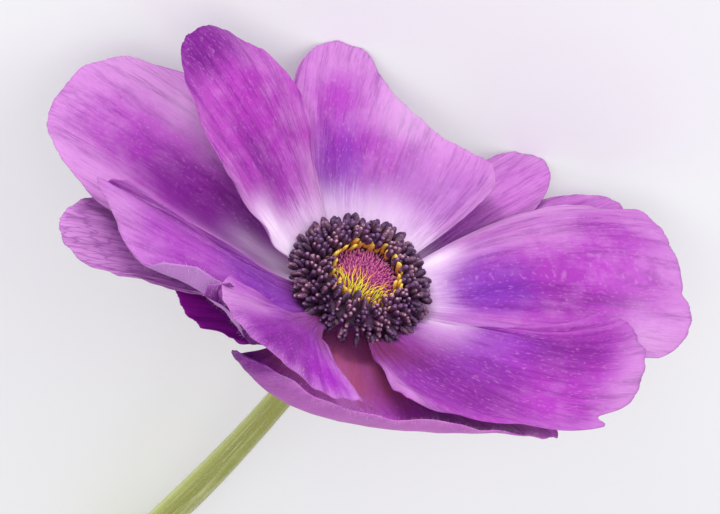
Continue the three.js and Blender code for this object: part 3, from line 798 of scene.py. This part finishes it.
# Whorl: copies of one shape on rings round the flower's axis, leaning more the farther out they stand.
# Lift moves each copy out along its own direction, and Stretch makes it as long as that reach. Near Bow
# Azimuth the innermost copies bow in over the middle; Far Size makes those opposite it larger.
whorlNumbers = {
    "Inner Radius": 5.0, "Outer Radius": 9.0, "Inner Height": 6.0, "Outer Height": 6.0, "Inner Tilt": 0.0,
    "Outer Tilt": 1.4, "Tilt Bend": 1.0, "Tilt Spread": 0.1, "Reach": 1.5, "Reach Spread": 0.3, "Lift": 1.0,
    "Stretch": 0.0, "Size": 1.0, "Size Spread": 0.1, "Twist": 0.5, "Bow Azimuth": 0.0, "Bow": 0.0,
    "Bow Reach": 0.0, "Far Size": 0.0,
}
whorlTurnSpread = 0.07                  # radians that a copy may stand off its place on the ring
whorlBowPace = 2.5                      # the higher, the fewer copies bow in
copyInputs = [("Shape", "NodeSocketObject", None), ("Material", "NodeSocketMaterial", None),
              ("Seed", "NodeSocketInt", 0)]
goldenAngle = math.pi * (3 - math.sqrt(5))


def newTree(name, numbers, others):
    # the others come first, since a modifier hands its geometry to the first input
    inputs = [(label, "NodeSocketFloat", value) for label, value in numbers.items()]
    return newGroup(name, "GeometryNodeTree", others + copyInputs + inputs,
                    [("Geometry", "NodeSocketGeometry")])


def placeCopies(given, points, rotation, scale, spin):
    # one copy of the shape on each point, spun once more in its own frame
    tree = treeOf(points)
    shape = nodeValue(tree, "GeometryNodeObjectInfo", {"Object": given["Shape"], "As Instance": True},
                      "Geometry")
    placed = nodeValue(tree, "GeometryNodeInstanceOnPoints", {
        "Points": points, "Instance": shape, "Rotation": rotation, "Scale": scale})
    spun = nodeValue(tree, "GeometryNodeRotateInstances", {
        "Instances": placed, "Rotation": spin, "Local Space": True})
    real = nodeValue(tree, "GeometryNodeRealizeInstances", {"Geometry": spun})
    return nodeValue(tree, "GeometryNodeSetMaterial", {"Geometry": real, "Material": given["Material"]})


def whorlTree():
    tree, given, result = newTree("whorl", whorlNumbers, [("Count", "NodeSocketInt", 40)])

    def draw(offset, spread):
        return randomValue(given["Seed"], offset, spread * -1.0, spread)

    def polar(radius, angle, z):
        return triple(radius * calc("COSINE", angle), radius * calc("SINE", angle), z)

    index = nodeValue(tree, "GeometryNodeInputIndex", {})
    share = (index + 0.5) / given["Count"]
    inner, outer = (calc("POWER", given[label], 2.0) for label in ("Inner Radius", "Outer Radius"))
    turn = index * goldenAngle + draw(1, whorlTurnSpread)
    height = between(given["Inner Height"], given["Outer Height"], share)
    foot = polar(calc("SQRT", between(inner, outer, share)), turn, height)
    nearness = calc("COSINE", turn - given["Bow Azimuth"])
    bowed = calc("MAXIMUM", nearness, 0.0) * (1.0 - calc("MINIMUM", share * whorlBowPace, 1.0))
    tilt = between(given["Inner Tilt"], given["Outer Tilt"], calc("POWER", share, given["Tilt Bend"]))
    tilt = tilt + draw(2, given["Tilt Spread"]) - bowed * given["Bow"]
    heading = turn + draw(3, given["Tilt Spread"])
    reach = given["Reach"] + draw(4, given["Reach Spread"]) + bowed * given["Bow Reach"]
    size = given["Size"] * (1.0 - nearness * given["Far Size"] + draw(5, given["Size Spread"]))
    lift = reach * given["Lift"]
    move = polar(lift * calc("SINE", tilt), heading, lift * calc("COSINE", tilt))
    where = nodeValue(tree, "ShaderNodeVectorMath", {0: foot, 1: move}, operation="ADD")
    points = nodeValue(tree, "GeometryNodePoints", {"Count": given["Count"], "Position": where})
    rotation = nodeValue(tree, "FunctionNodeEulerToRotation", {0: triple(0.0, tilt, heading)})
    scale = triple(size, size, between(size, reach, given["Stretch"]))
    spin = triple(0.0, 0.0, draw(6, given["Twist"]))
    put(result["Geometry"], placeCopies(given, points, rotation, scale, spin))
    return tree


def runTree(tree, name, base, values):
    # runs a Geometry Nodes tree on base and returns the result as a plain mesh
    host = bpy.data.objects.new(name, base)
    scene.collection.objects.link(host)
    modifier = host.modifiers.new("make", "NODES")
    modifier.node_group = tree
    sockets = {item.name: item.identifier for item in tree.interface.items_tree
               if item.item_type == "SOCKET" and item.in_out == "INPUT"}
    for label, value in values.items():
        modifier[sockets[label]] = value
    view = bpy.context.evaluated_depsgraph_get()
    mesh = bpy.data.meshes.new_from_object(host.evaluated_get(view), preserve_all_data_layers=True,
                                           depsgraph=view)
    mesh.name = name
    bpy.data.objects.remove(host)
    return mesh


def turnedBody(profile, sides, wide=1.0, deep=1.0, shift=0.0):
    # points and faces of a body of revolution about z, closed at both ends of its profile
    around = np.linspace(0, 2 * math.pi, sides, endpoint=False)
    points = [(shift, 0, profile[0][1])]
    for radius, z in profile[1:-1]:
        points += [(shift + wide * radius * math.cos(a), deep * radius * math.sin(a), z) for a in around]
    points.append((shift, 0, profile[-1][1]))
    top = len(points) - 1 - sides
    faces = [(0, 1 + (i + 1) % sides, 1 + i) for i in range(sides)]
    faces += tubeFaces(len(profile) - 2, sides, 1)[:-2]
    faces += [(top + i, top + (i + 1) % sides, len(points) - 1) for i in range(sides)]
    return points, faces


def turnedShape(name, profile, sides, wide=1.0, deep=1.0):
    # a shape to copy, whose edge value grows from 0 at its foot to 1 at its top
    points, faces = turnedBody(profile, sides, wide, deep)
    edge = [z / profile[-1][1] for x, y, z in points]
    return bpy.data.objects.new(name, shapeMesh(name, points, faces, edge=edge))


def turnedPiece(name, profile, sides, skin, node, slot):
    points, faces = turnedBody(profile, sides)
    mesh = laidMesh(shapeMesh(name, points, faces, edge=np.zeros(len(points))))
    finishPiece(name, mesh, skin, node)


plainGrain = {"scale": 900.0, "edge": (0.4, 0.6), "bump": 0.0001}


def plainSkin(name, colours, tipFrom=0.6):
    # two close colours in grain, going over to a third towards the tip
    material, tree, sockets = newMaterial(name, Roughness=0.6)
    low, high, tip = (srgb(*colour) for colour in colours)
    grain = noise(objectPlace(tree), plainGrain["scale"])
    colour = blendColour(ramp(grain, *plainGrain["edge"]), low, high)
    put(sockets["Base Color"], blendColour(ramp(attribute(tree, "edge"), tipFrom, 1.0), colour, tip))
    put(sockets["Normal"], bumped(grain, plainGrain["bump"]))
    return material


whorls = whorlTree()
emptyMesh = bpy.data.meshes.new("host")


def whorlPiece(name, shape, material, rings, node, slot, seat=Matrix()):
    mesh = runTree(whorls, name, emptyMesh, {**rings, "Shape": shape, "Material": material})
    mesh.transform(seat)
    finishPiece(name, laidMesh(mesh), None, node)


# Dark stamens: two-lobed anthers on fine stalks, the bed that they stand on, and a few pink ones among
# the innermost.
darkStamens = {
    "lobeProfile": ((0, -0.95), (0.62, -0.7), (0.98, -0.1), (0.86, 0.5), (0.5, 0.86), (0, 1.0)),
    "lobeSides": 7,
    "lobeWide": 0.42,
    "lobeDeep": 0.46,
    "lobeGap": 0.34,
    "lobeLean": 0.06,                   # the lobes lie a little open, so that their tips part
    # the pale edges: the lobes' own seams and pink tips, with a painted lilac sheen on their sides
    "tipEdge": (0.7, 1.0),              # where the pale edge starts and is full, up the lobe
    "sideEdge": (0.55, 0.76),           # and out to its side
    "stalkProfile": ((0, 0), (0.13, 0.0), (0.104, 0.5), (0.091, 0.97), (0, 1.0)),
    "stalkSides": 5,
    "stalkColours": ((110, 60, 140), (150, 90, 185), (90, 40, 110)),
    "offCentre": (-0.38, -0.75, 0),     # mm that the ring sits off the flower's axis
    "lean": 8.0,                        # degrees that it leans over, about a level line at this azimuth
    "leanAzimuth": 21.6,
    "leanHeight": 6.0,
    "rings": {
        "Count": 208, "Inner Radius": 6.1, "Outer Radius": 8.5, "Inner Height": 6.5, "Outer Height": 5.4,
        "Inner Tilt": -0.15, "Outer Tilt": 1.7, "Tilt Bend": 1.1, "Tilt Spread": 0.18, "Reach": 1.6,
        "Reach Spread": 0.4, "Size": 1.16, "Size Spread": 0.16, "Twist": 0.6, "Bow Azimuth": 4.6, "Bow": 0.65,
        "Bow Reach": 0.5, "Far Size": 0.12, "Seed": 4,
    },
    "bedProfile": ((0, 4.4), (8.3, 4.7), (8.9, 5.4), (8.7, 6.0), (7.8, 6.35), (6.0, 6.45), (0, 6.0)),
    "bedSides": 64,
    "bedColours": ((60, 30, 62), (86, 40, 88), (60, 30, 62)),
    "pinkRings": {
        "Count": 9, "Inner Radius": 5.8, "Outer Radius": 6.4, "Inner Height": 6.3, "Outer Height": 6.3,
        "Inner Tilt": -0.1, "Outer Tilt": 0.1, "Tilt Spread": 0.2, "Reach": 1.1, "Reach Spread": 0.3,
        "Size": 0.68, "Size Spread": 0.1, "Twist": 1.5, "Seed": 31,
    },
    "pinkColours": ((226, 140, 120), (236, 170, 150), (242, 190, 190)),
}


def antherShape():
    make = darkStamens
    points, faces, edges = [], [], []
    for side in (-1, 1):
        lobe, lobeFaces = turnedBody(make["lobeProfile"], make["lobeSides"], make["lobeWide"],
                                     make["lobeDeep"], side * make["lobeGap"])
        faces += [tuple(len(points) + k for k in face) for face in lobeFaces]
        points += [(x, y - make["lobeLean"] * z, z) for x, y, z in lobe]
        edges += [max(smooth(*make["tipEdge"], z), 0.8 * smooth(*make["sideEdge"], side * x))
                  for x, y, z in lobe]
    return bpy.data.objects.new("antherShape", shapeMesh("antherShape", points, faces, edge=edges))


antherSkin = {
    "dark": srgb(54, 30, 54),
    "brown": srgb(94, 54, 82),
    # lilac: the lobes' seams, with painted sheen; pink: their own tips
    "lilacSheen": srgb(154, 96, 172),
    "pink": srgb(220, 166, 194),
    "broad": 420.0,
    "grain": 2600.0,
    "brownEdge": (0.42, 0.62),          # where each colour starts to show, and where it shows in full
    "pinkEdge": (0.48, 0.58),
    "grainEdge": (0.34, 0.56),
    "lobeEdge": (0.3, 1.0),
    "edgeShare": 0.9,
    "bump": (0.00015, 0.9),             # depth in m, and strength
}


def antherMaterial():
    material, tree, sockets = newMaterial("antherSkin", Roughness=0.42, Specular_IOR_Level=0.4)
    place = objectPlace(tree)
    broad = noise(place, antherSkin["broad"], 2.0)
    grain = noise(place, antherSkin["grain"], 3.0, 0.6)
    colour = blendColour(ramp(broad, *antherSkin["brownEdge"]), antherSkin["dark"], antherSkin["brown"])
    # pale edges: painted lilac sheen over the seams, going over to the lobes' own pink
    edgeColour = blendColour(ramp(broad, *antherSkin["pinkEdge"]), antherSkin["lilacSheen"], antherSkin["pink"])
    onEdge = ramp(attribute(tree, "edge"), *antherSkin["lobeEdge"]) * ramp(grain, *antherSkin["grainEdge"])
    put(sockets["Base Color"], blendColour(onEdge * antherSkin["edgeShare"], colour, edgeColour))
    put(sockets["Normal"], bumped(grain, *antherSkin["bump"]))
    return material


def leanSeat(make):
    turn = math.radians(make["leanAzimuth"])
    pivot = Matrix.Translation((0, 0, make["leanHeight"]))
    lean = Matrix.Rotation(math.radians(make["lean"]), 4, Vector((math.cos(turn), math.sin(turn), 0)))
    return Matrix.Translation(make["offCentre"]) @ pivot @ lean @ pivot.inverted()


anther = antherShape()
stalk = turnedShape("stalkShape", darkStamens["stalkProfile"], darkStamens["stalkSides"])
stalkSkin = plainSkin("stalkSkin", darkStamens["stalkColours"])
stalkRings = {**darkStamens["rings"], "Lift": 0.0, "Stretch": 1.0}
ringPlace = ("dark_stamens", "anther_dark")
whorlPiece("darkAnthers", anther, antherMaterial(), darkStamens["rings"], *ringPlace, leanSeat(darkStamens))
whorlPiece("darkStalks", stalk, stalkSkin, stalkRings, *ringPlace, leanSeat(darkStamens))
turnedPiece("stamenBed", darkStamens["bedProfile"], darkStamens["bedSides"],
            plainSkin("bedSkin", darkStamens["bedColours"]), *ringPlace)
whorlPiece("pinkAnthers", anther, plainSkin("pinkSkin", darkStamens["pinkColours"]),
           darkStamens["pinkRings"], *ringPlace)
print("dark stamens made")

# Short yellow stamens stand round the dome, on a ring of their own.
yellowStamens = {
    "profile": ((0, 0), (0.6, 0.08), (0.8, 0.6), (1.0, 1.6), (0.86, 2.2), (0, 2.4)),
    "sides": 7,
    "wide": 0.42,
    "deep": 0.2,
    "colours": ((240, 146, 54), (244, 178, 72), (236, 200, 84)),
    "tipFrom": 0.4,
    "rings": {
        "Count": 42, "Inner Radius": 5.05, "Outer Radius": 5.75, "Inner Height": 6.0, "Outer Height": 6.2,
        "Inner Tilt": -0.3, "Outer Tilt": -0.12, "Tilt Spread": 0.16, "Reach": 0.1, "Reach Spread": 0.3,
        "Size Spread": 0.16, "Bow Azimuth": 4.6, "Far Size": 0.3, "Seed": 9,
    },
    "bedSection": ((4.9, 4.7), (5.8, 4.7), (5.8, 6.2), (4.9, 6.2)),
    "bedSides": 64,
}


def yellowBedMesh():
    section, sides = yellowStamens["bedSection"], yellowStamens["bedSides"]
    around = np.linspace(0, 2 * math.pi, sides, endpoint=False)
    points = [(r * math.cos(a), r * math.sin(a), z) for a in around for r, z in section]
    corners = len(section)
    faces = []
    for here in range(0, len(points), corners):
        after = (here + corners) % len(points)
        for k in range(corners):
            beside = (k + 1) % corners
            faces.append((here + k, after + k, after + beside, here + beside))
    return shapeMesh("yellowBed", points, faces, edge=np.zeros(len(points)))


yellowShape = turnedShape("yellowShape", yellowStamens["profile"], yellowStamens["sides"],
                          yellowStamens["deep"], yellowStamens["wide"])
yellowSkin = plainSkin("yellowSkin", yellowStamens["colours"], yellowStamens["tipFrom"])
whorlPiece("yellowAnthers", yellowShape, yellowSkin, yellowStamens["rings"],
           "yellow_stamens", "pollen_yellow")
finishPiece("yellowBed", laidMesh(yellowBedMesh()), yellowSkin, "yellow_stamens")
print("yellow stamens made")

# Pistil dome, its spikes, and the wavy yellow strands that lie over its near edge.
dome = {
    "radius": 4.7,
    "base": 4.5,
    "baseInset": 0.4,
    "wall": 1.0,                        # height of the side under the rounded top
    "top": 7.1,
    "sides": 48,
    "steps": 12,
    "colours": ((140, 50, 120), (176, 72, 146), (176, 72, 146)),
    "spikeProfile": ((0, 0), (0.11, 0.0), (0.1, 0.55), (0.06, 0.9), (0, 1.0)),
    "spikeSides": 5,
    "spikeColours": ((168, 60, 142), (208, 86, 164), (238, 138, 188)),
    "spikeTipFrom": 0.45,
    "spikes": {
        "Count": 620, "Inner Radius": 0.0, "Outer Radius": 4.6, "Inner Height": 6.9, "Outer Height": 5.9,
        "Outer Tilt": 0.75, "Tilt Spread": 0.25, "Reach": 0.95, "Reach Spread": 0.25, "Lift": 0.0,
        "Stretch": 1.0, "Size Spread": 0.2, "Twist": 3.0, "Seed": 2,
    },
}
domeRise = dome["top"] - dome["base"] - dome["wall"]
domeProfile = [(0, dome["base"]), (dome["radius"] - dome["baseInset"], dome["base"])]
domeProfile += [(dome["radius"] * math.cos(a), dome["base"] + dome["wall"] + domeRise * math.sin(a))
                for a in np.linspace(0, math.pi / 2, dome["steps"], endpoint=False)]
domeProfile.append((0, dome["top"]))
turnedPiece("domeBody", domeProfile, dome["sides"], plainSkin("domeSkin", dome["colours"]),
            "pistil_dome", "pistil")
spike = turnedShape("spikeShape", dome["spikeProfile"], dome["spikeSides"])
spikeSkin = plainSkin("spikeSkin", dome["spikeColours"], dome["spikeTipFrom"])
whorlPiece("domeSpikes", spike, spikeSkin, dome["spikes"], "pistil_dome", "pistil")

strands = {
    "count": 44,
    "around": 272.0,                    # degrees round the axis where most are rooted
    "spread": 62.0,                     # degrees to either side
    "gather": 0.6,                      # the higher, the closer they stand to the middle
    "jitter": 0.04,
    "inset": (0.1, 0.7),                # mm inside the dome's edge
    "fan": 0.75,                        # radians that the outermost turn away from the middle
    "stray": 0.15,
    "length": (2.4, 5.6),               # mm
    "shorter": 0.4,                     # share of its length that the outermost lacks
    "height": (0.75, 1.15),             # mm over the dome
    "rise": (0.3, 3),                   # share of that height at the root, and its growth along the strand
    "radius": 0.085,
    "taper": 0.75,
    "sides": 5,
    "steps": 14,
    "wave": 0.14,
    "waves": 9,                         # radians of wave along a strand
    "seed": 12,
    "colours": ((212, 214, 30), (236, 204, 50), (246, 176, 84)),
    "tipFrom": 0.2,
}


def domeHeight(radius):
    return dome["base"] + dome["wall"] + domeRise * math.sqrt(max(0, 1 - (radius / dome["radius"]) ** 2))


def strandPoints(place, draw):
    # rings of points along one strand; place runs from -1 to 1 along the arc of roots
    make = strands
    around = math.radians(make["around"])
    turn = math.radians(make["around"] + make["spread"] * place * abs(place) ** make["gather"])
    root = np.array((math.cos(turn), math.sin(turn))) * (dome["radius"] - draw.uniform(*make["inset"]))
    heading = around + math.pi - make["fan"] * place + draw.uniform(-make["stray"], make["stray"])
    length = draw.uniform(*make["length"]) * (1 - make["shorter"] * abs(place))
    phase, tall = draw.uniform(0, 6.28), draw.uniform(*make["height"])
    ahead = np.array((math.cos(heading), math.sin(heading)))
    left = np.array((-math.sin(heading), math.cos(heading)))
    start, growth = make["rise"]
    points = []
    for s in np.linspace(0, 1, make["steps"] + 1):
        spot = root + ahead * length * s + left * make["wave"] * math.sin(make["waves"] * s + phase)
        z = domeHeight(np.hypot(*spot)) + tall * min(1.0, start + growth * s)
        radius = make["radius"] * (1 - make["taper"] * s ** 2)
        for a in np.linspace(0, 2 * math.pi, make["sides"], endpoint=False):
            x, y = spot + left * radius * math.cos(a)
            points.append((x, y, z + radius * math.sin(a)))
    return points


def strandMesh():
    make = strands
    draw = np.random.default_rng(make["seed"])
    rings = make["steps"] + 1
    points, faces = [], []
    for k in range(make["count"]):
        place = (2 * k + 1) / make["count"] - 1 + draw.uniform(-make["jitter"], make["jitter"])
        faces += tubeFaces(rings, make["sides"], len(points))
        points += strandPoints(place, draw)
    along = np.repeat(np.linspace(0, 1, rings), make["sides"])
    return shapeMesh("domeStrands", points, faces, edge=np.tile(along, make["count"]))


strandSkin = plainSkin("strandSkin", strands["colours"], strands["tipFrom"])
finishPiece("domeStrands", laidMesh(strandMesh()), strandSkin, "pistil_dome")
print("pistil made")


# Down: fine hairs scattered over a piece where its fuzz value says, leaning off it.
downNumbers = {"Density": 1.0, "Size": 1.0, "Size Spread": 0.3, "Lean": 0.4}


def downTree():
    tree, given, result = newTree("down", downNumbers, [("Geometry", "NodeSocketGeometry", None)])
    weight = nodeValue(tree, "GeometryNodeInputNamedAttribute", {"Name": "fuzz"}, data_type="FLOAT")
    spread = makeNode(tree, "GeometryNodeDistributePointsOnFaces", {
        "Mesh": given["Geometry"], "Density": given["Density"] * weight, "Seed": given["Seed"]},
        distribute_method="RANDOM")
    points, rotation = (Value(spread.outputs[label]) for label in ("Points", "Rotation"))
    grown = randomValue(given["Seed"], 1, 1.0 - given["Size Spread"], 1.0 + given["Size Spread"])
    leans = [randomValue(given["Seed"], offset, given["Lean"] * -1.0, given["Lean"]) for offset in (2, 3)]
    put(result["Geometry"], placeCopies(given, points, rotation, given["Size"] * grown, triple(*leans)))
    return tree


stemHairs = {
    "profile": ((0, 0), (0.022, 0.0), (0.014, 0.6), (0, 1.0)),
    "from": (6, 14),                    # mm along the stem where the hairs start and are in full
    "to": 103,
    "down": {"Density": 3.2e6, "Size": 0.55, "Size Spread": 0.4, "Lean": 0.7, "Seed": 5},
}
rimHairs = {
    "profile": ((0, 0), (0.011, 0.0), (0.007, 0.6), (0, 1.0)),
    "petals": ((8, -0.9, 0.0), (10, -0.3, 0.7), (11, -0.6, 0.7)),    # petal, from and to across it
    "margin": (0.9, 0.2),               # mm from the rim where the hairs end and are in full
    "reach": 20,                        # mm out where they start
    "down": {"Density": 6.5e6, "Size": 0.55, "Size Spread": 0.5, "Lean": 0.6, "Seed": 17},
}
hairLook = {
    "colours": (srgb(222, 226, 200), srgb(240, 240, 232)),
    "grain": 300.0,
    "grainEdge": (0.4, 0.6),
}


def hairMaterial():
    material, tree, sockets = newMaterial("hairSkin", Roughness=0.5, Specular_IOR_Level=0.3)
    grain = noise(objectPlace(tree), hairLook["grain"])
    put(sockets["Base Color"], blendColour(ramp(grain, *hairLook["grainEdge"]), *hairLook["colours"]))
    return material


downs = downTree()
hairSkin = hairMaterial()


def readShade(mesh, label):
    values = np.empty(len(mesh.vertices), np.float32)
    mesh.attributes[label].data.foreach_get("value", values)
    return values


def hairPiece(name, carrier, fuzz, make, node):
    base = carrier.copy()
    base.attributes.new("fuzz", "FLOAT", "POINT").data.foreach_set("value", fuzz.astype(np.float32))
    hair = turnedShape(name + "Hair", [(radius * mm, z * mm) for radius, z in make["profile"]], 3)
    mesh = runTree(downs, name, base, {**make["down"], "Shape": hair, "Material": hairSkin})
    finishPiece(name, mesh, None, node)


stemRun = readShade(stem.data, "reach")
hairPiece("stemHairs", stem.data, smooth(*stemHairs["from"], stemRun) * (stemRun < stemHairs["to"]),
          stemHairs, "stem")
for number, near, far in rimHairs["petals"]:
    label = f"{number:02d}"
    leaf = bpy.data.objects["petalLeaf" + label].data
    v, margin, rho = (readShade(leaf, shade) for shade in ("across", "margin", "reach"))
    fuzz = (v > near) * (v < far) * smooth(*rimHairs["margin"], margin) * (rho > rimHairs["reach"])
    hairPiece("petalDown" + label, leaf, fuzz, rimHairs, "petal_" + label)
print("hairs made")


# The camera looks down on the lying flower and keeps the roll that stands the bloom upright.
camera = {
    "lens": 120.0,
    "distance": 355.0,                  # mm
    "right": (0.883, 0.349, 0.314),     # in the flower's frame
    "up": (-0.469, 0.656, 0.591),
    "towards": (0.0, -0.669, 0.743),
    "aim": (1.48, 6.66),                # mm right of and above the petals' feet
}


def turned(direction):
    return Vector((turnRows @ np.array(direction)).tolist()).normalized()


right, up, towards = (turned(camera[label]) for label in ("right", "up", "towards"))
target = Vector(lying["place"]) * mm + right * camera["aim"][0] * mm + up * camera["aim"][1] * mm
cameraData = bpy.data.cameras.new("camera")
cameraData.lens = camera["lens"]
cameraData.clip_start = 0.01
viewer = bpy.data.objects.new("camera", cameraData)
viewer.matrix_world = Matrix.Translation(target + towards * camera["distance"] * mm) @ Matrix(
    (right, up, towards)).transposed().to_4x4()
scene.collection.objects.link(viewer)
scene.camera = viewer

lights = {
    # place from the bloom in mm (right, up, towards the camera), size in mm, power in watts
    "key": ((-120, 520, 300), 320, 4.9),
    "fill": ((420, 60, 420), 500, 0.7),
    "front": ((-60, -120, 620), 500, 0.7),
}
for label, (offset, size, power) in lights.items():
    lamp = bpy.data.lights.new(label, "AREA")
    lamp.shape, lamp.size, lamp.energy = "DISK", size * mm, power
    lampObject = bpy.data.objects.new(label, lamp)
    away = (right * offset[0] + up * offset[1] + towards * offset[2]) * mm
    facing = away.to_track_quat("Z", "Y").to_matrix().to_4x4()
    lampObject.matrix_world = Matrix.Translation(target + away) @ facing
    scene.collection.objects.link(lampObject)

studio = {
    "sky": srgb(250, 250, 252),
    "strength": 0.8,
    "floor": srgb(244, 244, 246),
    "floorFleck": srgb(220, 220, 224),
    "floorSize": 3.0,                   # m
    "floorGrain": 900.0,
    "fleckShare": 0.04,
}
world = bpy.data.worlds.new("studio")
world.use_nodes = True
background = world.node_tree.nodes["Background"].inputs
put(background["Color"], studio["sky"])
put(background["Strength"], studio["strength"])
scene.world = world
scene.view_settings.view_transform = "Standard"

half = studio["floorSize"] / 2
floorMesh = bpy.data.meshes.new("floor")
floorMesh.from_pydata([(-half, -half, 0), (half, -half, 0), (half, half, 0), (-half, half, 0)], [],
                      [(0, 1, 2, 3)])
floorMaterial, floorTree, floorSockets = newMaterial("floorPaper", Roughness=0.9)
flecks = noise(objectPlace(floorTree), studio["floorGrain"]) * studio["fleckShare"]
put(floorSockets["Base Color"], blendColour(flecks, studio["floor"], studio["floorFleck"]))
floorMesh.materials.append(floorMaterial)
floor = bpy.data.objects.new("floor", floorMesh)
scene.collection.objects.link(floor)
print("camera, lights and floor set")
